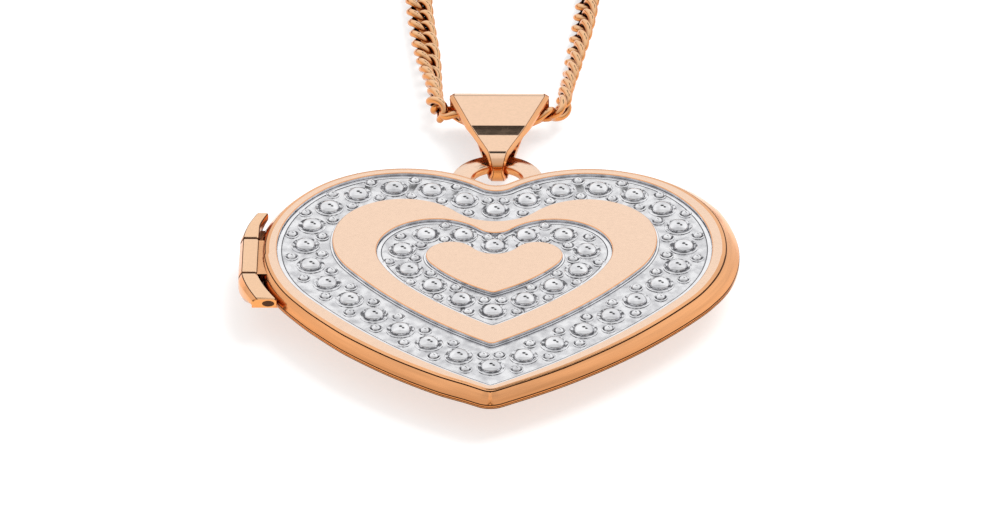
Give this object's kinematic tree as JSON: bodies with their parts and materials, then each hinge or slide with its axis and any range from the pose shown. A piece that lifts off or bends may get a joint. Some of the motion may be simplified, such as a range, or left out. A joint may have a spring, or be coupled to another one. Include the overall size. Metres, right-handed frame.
{
  "type": "locket",
  "caption": "Flat heart-shaped hinged locket with two beaded bands, a folded bail and a fine curb chain, lying on its back.",
  "frame": {"origin": "centre of the flat of the back cover, on the surface it lies on", "axes": "+X to the right seen from the front, +Y towards the cleft and the bail, +Z out of the front face"},
  "size_m": [0.0382, 0.0567, 0.0022],
  "materials": {
    "rose_gold": "polished rose gold",
    "rose_gold_wire": "polished rose gold wire",
    "white_metal": "rhodium plated, bright cut",
    "clear_sheet": "clear acetate sheet",
    "spring_steel": "drawn spring wire"
  },
  "bodies": {
    "back": {"back_cover": "rose_gold", "closing_rim": "rose_gold", "back_photo_frame": "rose_gold", "back_window": "clear_sheet", "hinge_knuckle_upper": "rose_gold", "hinge_knuckle_lower": "rose_gold", "hinge_pin": "rose_gold", "pendant_ring": "rose_gold", "chain_left": "rose_gold_wire", "chain_right": "rose_gold_wire", "coil_left": "rose_gold_wire", "coil_right": "rose_gold_wire", "chain_left_end": "rose_gold_wire", "chain_right_end": "rose_gold_wire", "clasp_body": "rose_gold", "clasp_eye": "rose_gold", "clasp_spring": "spring_steel", "end_ring": "rose_gold"},
    "front": {"front_cover": "rose_gold", "outer_band": "white_metal", "inner_band": "white_metal", "outer_large_beads": "white_metal", "outer_small_beads": "white_metal", "inner_large_beads": "white_metal", "inner_small_beads": "white_metal", "front_window": "clear_sheet", "front_photo_frame": "rose_gold", "hinge_knuckle_middle": "rose_gold"},
    "bail": {"bail": "rose_gold", "chain_in_bail": "rose_gold_wire"},
    "clasp_bolt": {"clasp_bolt": "rose_gold"}
  },
  "joints": [
    {"name": "cover_hinge", "type": "hinge", "parent": "back", "child": "front", "pos_m": [-0.01015, 0.00195, 0.00164], "axis": [0, -1, 0], "range_deg": [0, 165]},
    {"name": "bail_swing", "type": "hinge", "parent": "back", "child": "bail", "pos_m": [0, 0.01099, 0.0011], "axis": [1, 0, 0], "range_deg": [0, 60]},
    {"name": "bolt_slide", "type": "hinge", "parent": "back", "child": "clasp_bolt", "pos_m": [-0.003, 0.045, 0.0006], "axis": [0, 0, 1], "range_deg": [0, 45], "stiffness_Nm_per_rad": 0.00002, "deforming": ["clasp_spring"]}
  ]
}
